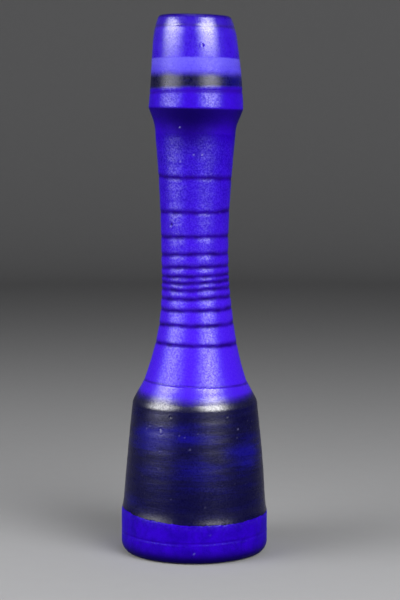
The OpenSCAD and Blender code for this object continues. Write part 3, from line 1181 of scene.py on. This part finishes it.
def neckGloss(tree):
    # even up to the flare under the collar, which is dull, as the rings are
    f = neckShine
    body = times(tree, heightRamp(tree, *f["body"]), heightRamp(tree, *f["flare"]))
    cut = times(tree, markOn(tree, "line"), heightRamp(tree, *f["rings"]))
    return times(tree, body, spread(tree, cut, 0.0, 1.0, f["dullRing"]))


footGlaze = glazeMaterial(
    "footGlaze", footColour, footGloss,
    rough=(0.45, 0.55), specular=0.02, peel=0.25 * mm, coatRough=0.3, dulled=1.0)
drumGlaze = glazeMaterial(
    "drumGlaze", shoulderColour, drumGloss,
    rough=(0.26, 0.34), specular=0.06, peel=(110, 119, (0.22 * mm, 0.36 * mm)),
    hairs=(121, 113, (0.0, 0.045 * mm)), coatRough=0.26, coatIor=2.5, dulled=(115, 121, (0.45, 0.5)))
neckGlaze = glazeMaterial(
    "neckGlaze", neckColour, neckGloss,
    rough=(0.4, 0.5), specular=0.03, peel=(150, 200, (0.4 * mm, 0.55 * mm)), coatRough=0.28,
    dulled=(150, 200, (0.66, 0.8)))
skirtGlaze = glazeMaterial(
    "skirtGlaze", collarColour, collarGloss,
    rough=(0.4, 0.5), specular=0.03, peel=0.38 * mm, coatRough=0.2, dulled=0.65)
collarGlaze = glazeMaterial(
    "collarGlaze", collarColour, collarGloss,
    rough=(0.24, 0.55), specular=0.2, peel=0.32 * mm, coatRough=0.15, dulled=0.5)
liningGlaze = glazeMaterial("liningGlaze", plainBlue)

clayForm = {"grog": 1400.0, "cloud": 90.0, "rough": (0.75, 0.92), "tooth": 0.15 * mm}


def clayMaterial(name, light, dark):
    # bare stoneware with grog
    f = clayForm
    made, tree, shader = startMaterial(name)
    where = addNode(tree, "ShaderNodeTexCoord").outputs["Object"]
    grog = noise(tree, where, f["grog"], detail=3.0, rough=0.7)
    cloud = noise(tree, where, f["cloud"], detail=3.0, rough=0.6)
    mixed = plus(tree, times(tree, grog, 0.5), times(tree, cloud, 0.5))
    feed(tree, shader.inputs["Base Color"], mixColour(tree, spread(tree, mixed, 0.35, 0.65), dark, light))
    feed(tree, shader.inputs["Roughness"], spread(tree, grog, 0.2, 0.8, f["rough"]))
    addBump(tree, shader, times(tree, grog, f["tooth"]))
    return made


stoneware = clayMaterial("stoneware", (0.27, 0.20, 0.145, 1), (0.15, 0.11, 0.08, 1))
slipClay = clayMaterial("slipClay", (0.36, 0.31, 0.25, 1), (0.24, 0.20, 0.16, 1))


def dress(piece, material):
    piece.data.materials.clear()
    piece.data.materials.append(material)


for piece, material in (
    (footCoat, footGlaze), (drumCoat, drumGlaze), (shoulderCoat, drumGlaze), (neckCoat, neckGlaze),
    (skirtCoat, skirtGlaze), (collarDark, collarGlaze), (collarPale, collarGlaze), (rimCoat, collarGlaze),
    (lining, liningGlaze), (drumClay, stoneware), (neckClay, stoneware), (collarClay, stoneware),
    (shoulderSlip, slipClay), (collarSlip, slipClay),
):
    dress(piece, material)
print("materials set")

# Studio: a pale floor that curves up all round, three soft boxes, and the camera
floorForm = {
    "flat": 2.3,
    "curve": 1.0,
    "top": 2.4,
    "colour": (0.32, 0.32, 0.325, 1),
    "paler": (0.3328, 0.3328, 0.338, 1),
    "tooth": 60.0,
    "rough": 0.9,
    "specular": 0.1,
}


def makeFloor():
    f = floorForm
    outline = [(0, 0), (f["flat"], 0)]
    outline += [(f["flat"] + f["curve"] * math.sin(a), f["curve"] * (1 - math.cos(a)))
                for a in np.linspace(0, math.pi / 2, 14)[1:]]
    outline.append((f["flat"] + f["curve"], f["top"]))
    floor = lathe("floor", outline, closed=False, segments=96)
    editAll()
    bpy.ops.mesh.flip_normals()
    bpy.ops.object.mode_set(mode="OBJECT")
    bpy.ops.object.shade_smooth()
    made, tree, shader = startMaterial("floorPaper")
    where = addNode(tree, "ShaderNodeTexCoord").outputs["Object"]
    tooth = noise(tree, where, f["tooth"], detail=3.0, rough=0.6)
    feed(tree, shader.inputs["Base Color"], mixColour(tree, tooth, f["colour"], f["paler"]))
    shader.inputs["Roughness"].default_value = f["rough"]
    shader.inputs["Specular IOR Level"].default_value = f["specular"]
    dress(floor, made)


# Soft boxes: degrees to the right of the camera's side, lowest and highest elevation seen from the vase,
# and the share of the width over which the light fades towards both sides
softBoxes = {
    "rightBox": {"around": 36, "low": 2, "high": 45, "wide": 66, "fade": 1.0, "radiance": 10.3},
    "leftBox": {"around": -66, "low": -2, "high": 40, "wide": 74, "fade": 1.0, "radiance": 7.3},
    "topBox": {"around": 0, "low": 74, "high": 104, "wide": 30, "fade": 0.1, "radiance": 1.5},
}
boxDistance = 1.3
aimHeight = 0.22
worldColour = (0.03, 0.03, 0.032, 1)


def fadeSides(lamp, fade):
    lamp.use_nodes = True
    tree = lamp.node_tree
    across = split(tree, addNode(tree, "ShaderNodeNewGeometry").outputs["Parametric"])[0]
    offMiddle = calc(tree, "ABSOLUTE", calc(tree, "SUBTRACT", across, 0.5))
    feed(tree, tree.nodes["Emission"].inputs["Strength"], spread(tree, offMiddle, 0.5, 0.5 - 0.5 * fade))


def softBox(name, form):
    middle = math.radians((form["low"] + form["high"]) / 2)
    turned = math.radians(form["around"])
    level = math.cos(middle)
    outward = Vector((math.sin(turned) * level, -math.cos(turned) * level, math.sin(middle)))
    lamp = bpy.data.lights.new(name, "AREA")
    lamp.shape = "RECTANGLE"
    lamp.size = 2 * boxDistance * math.tan(math.radians(form["wide"] / 2))
    lamp.size_y = 2 * boxDistance * math.tan(math.radians((form["high"] - form["low"]) / 2))
    lamp.energy = form["radiance"] * math.pi * lamp.size * lamp.size_y
    fadeSides(lamp, form["fade"])
    box = bpy.data.objects.new(name, lamp)
    bpy.context.scene.collection.objects.link(box)
    box.location = outward * boxDistance + Vector((0, 0, aimHeight))
    box.rotation_euler = (-outward).to_track_quat("-Z", "Y").to_euler()
    box.visible_camera = False


cameraForm = {"place": (0.0043, -1.3030, 0.3157), "pitch": 84.452, "lens": 105, "sensor": 36}


def makeCamera():
    c = cameraForm
    lens = bpy.data.cameras.new("camera")
    lens.lens = c["lens"]
    lens.sensor_width = c["sensor"]
    camera = bpy.data.objects.new("camera", lens)
    bpy.context.scene.collection.objects.link(camera)
    camera.location = c["place"]
    camera.rotation_euler = (math.radians(c["pitch"]), 0, 0)
    bpy.context.scene.camera = camera


makeFloor()
for name, form in softBoxes.items():
    softBox(name, form)
makeCamera()
world = bpy.data.worlds.new("studio")
bpy.context.scene.world = world
world.use_nodes = True
world.node_tree.nodes["Background"].inputs["Color"].default_value = worldColour
bpy.context.scene.view_settings.view_transform = "Standard"
print("studio set")
